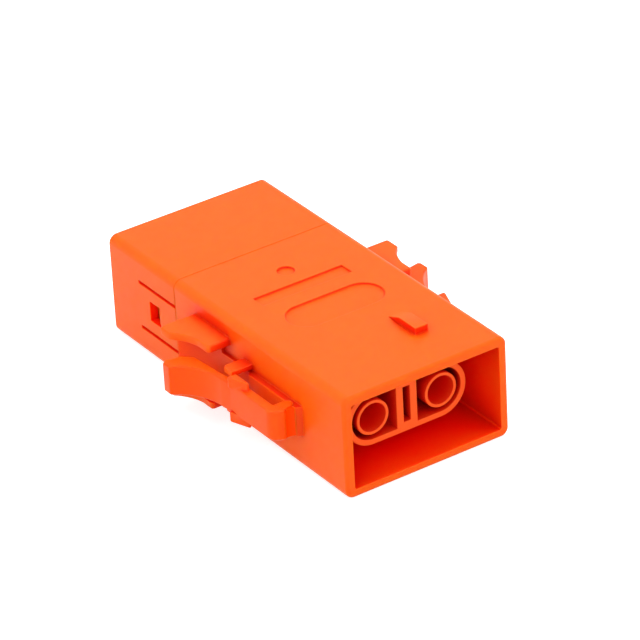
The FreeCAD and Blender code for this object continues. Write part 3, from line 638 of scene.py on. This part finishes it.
def white_floor():
    """A white floor that shows white to the camera and in reflections, and keeps the shadow."""
    material = bpy.data.materials.new("white_floor")
    material.use_nodes = True
    nodes, links = material.node_tree.nodes, material.node_tree.links
    paper = nodes["Principled BSDF"]
    paper.inputs["Base Color"].default_value = FLOOR_GREY
    paper.inputs["Roughness"].default_value = FLOOR_ROUGHNESS
    paper.inputs["Specular IOR Level"].default_value = 0.0
    path = nodes.new("ShaderNodeLightPath")
    seen = path.outputs["Is Camera Ray"]
    for ray in ("Is Glossy Ray", "Is Transmission Ray"):
        either = nodes.new("ShaderNodeMath")
        either.operation = "MAXIMUM"
        links.new(seen, either.inputs[0])
        links.new(path.outputs[ray], either.inputs[1])
        seen = either.outputs[0]
    strength = nodes.new("ShaderNodeMath")
    strength.operation = "MULTIPLY"
    strength.inputs[1].default_value = FLOOR_GLOW
    links.new(seen, strength.inputs[0])
    glow = nodes.new("ShaderNodeEmission")
    links.new(strength.outputs[0], glow.inputs["Strength"])
    both = nodes.new("ShaderNodeAddShader")
    links.new(paper.outputs["BSDF"], both.inputs[0])
    links.new(glow.outputs["Emission"], both.inputs[1])
    links.new(both.outputs["Shader"], nodes["Material Output"].inputs["Surface"])
    return material


def floor(size):
    """A square floor, a hair under the connector so that the two never share a surface."""
    form = bmesh.new()
    bmesh.ops.create_grid(form, x_segments=1, y_segments=1, size=size / 2)
    bmesh.ops.translate(form, vec=(0, 0, -FLOOR_DROP), verts=form.verts)
    plane = placed(form, "floor", white_floor())


def surroundings(strength):
    """White all round, at full white where the camera sees it whatever its strength."""
    world = bpy.data.worlds.new("surroundings")
    world.use_nodes = True
    bpy.context.scene.world = world
    nodes, links = world.node_tree.nodes, world.node_tree.links
    lit = nodes["Background"]
    lit.inputs["Color"].default_value = WHITE
    lit.inputs["Strength"].default_value = strength
    shown = nodes.new("ShaderNodeBackground")
    shown.inputs["Color"].default_value = WHITE
    shown.inputs["Strength"].default_value = 1
    path = nodes.new("ShaderNodeLightPath")
    choice = nodes.new("ShaderNodeMixShader")
    links.new(path.outputs["Is Camera Ray"], choice.inputs["Fac"])
    links.new(lit.outputs["Background"], choice.inputs[1])
    links.new(shown.outputs["Background"], choice.inputs[2])
    links.new(choice.outputs["Shader"], nodes["World Output"].inputs["Surface"])


def soft_lamp(name, position, aim, size, power):
    """A large square lamp that faces the point it aims at."""
    light = bpy.data.lights.new(name, "AREA")
    light.shape = "SQUARE"
    light.size = size
    light.energy = power
    lamp = bpy.data.objects.new(name, light)
    bpy.context.scene.collection.objects.link(lamp)
    lamp.location = position
    lamp.rotation_euler = (Vector(aim) - Vector(position)).to_track_quat("-Z", "Y").to_euler()


def camera(look):
    """The camera of the photograph, fitted to the housing's straight edges."""
    data = bpy.data.cameras.new("camera")
    data.sensor_width = SENSOR_WIDTH
    data.sensor_fit = "HORIZONTAL"
    data.lens = look.focal_length
    data.shift_x, data.shift_y = look.shift
    data.clip_start = NEAREST_SEEN
    back = Vector((
        math.sin(look.azimuth) * math.cos(look.elevation),
        -math.cos(look.azimuth) * math.cos(look.elevation),
        math.sin(look.elevation)))
    right = Vector((math.cos(look.azimuth), math.sin(look.azimuth), 0))
    level = Matrix((right, back.cross(right), back)).transposed()
    turned = level @ Matrix.Rotation(look.roll, 3, "Z")
    place = Vector(look.target) + back * look.distance
    eye = bpy.data.objects.new("camera", data)
    eye.matrix_world = Matrix.Translation(place) @ turned.to_4x4()
    bpy.context.scene.collection.objects.link(eye)
    bpy.context.scene.camera = eye


class CONNECTOR_OT_stage(Operator):
    """Sets the floor, the surroundings, the lamps and the camera"""

    bl_idname = "connector.stage"
    bl_label = "Stage"

    def execute(self, context):
        look = context.scene.connector_stage
        floor(look.floor_size)
        surroundings(look.world_strength)
        for name, place, side, power in LAMPS:
            soft_lamp(name, place, look.target, side, getattr(look, power))
        camera(look)
        context.scene.view_settings.view_transform = "Standard"
        return {"FINISHED"}


class CONNECTOR_PT_pieces(Panel):
    """Lists the connector's pieces with their looks"""

    bl_idname = "CONNECTOR_PT_pieces"
    bl_label = "Connector"
    bl_space_type = "VIEW_3D"
    bl_region_type = "UI"
    bl_category = "Connector"

    def draw(self, context):
        for operator in OPERATORS:
            self.layout.operator(operator.bl_idname)
        for name in LOOKS:
            box = self.layout.box()
            look = getattr(context.scene, name)
            for field in look.__annotations__:
                box.prop(look, field)


LOOKS = {
    "connector_mouldings": MouldingLook,
    "connector_plastics": PlasticLook,
    "connector_metals": MetalLook,
    "connector_stage": StageLook,
}
OPERATORS = (
    CONNECTOR_OT_front_housing,
    CONNECTOR_OT_rear_cover,
    CONNECTOR_OT_latches,
    CONNECTOR_OT_carrier,
    CONNECTOR_OT_inserts,
    CONNECTOR_OT_seals,
    CONNECTOR_OT_contacts,
    CONNECTOR_OT_stage,
)


def register():
    for item in (*LOOKS.values(), *OPERATORS, CONNECTOR_PT_pieces):
        bpy.utils.register_class(item)
    for name, look in LOOKS.items():
        setattr(bpy.types.Scene, name, PointerProperty(type=look))


def unregister():
    for name in LOOKS:
        delattr(bpy.types.Scene, name)
    for item in (CONNECTOR_PT_pieces, *reversed(OPERATORS), *reversed(LOOKS.values())):
        bpy.utils.unregister_class(item)


def main():
    register()
    bpy.ops.connector.front_housing()
    bpy.ops.connector.rear_cover()
    bpy.ops.connector.latches()
    bpy.ops.connector.carrier()
    bpy.ops.connector.inserts()
    bpy.ops.connector.seals()
    bpy.ops.connector.contacts()
    bpy.ops.connector.stage()


if __name__ == "__main__":
    main()
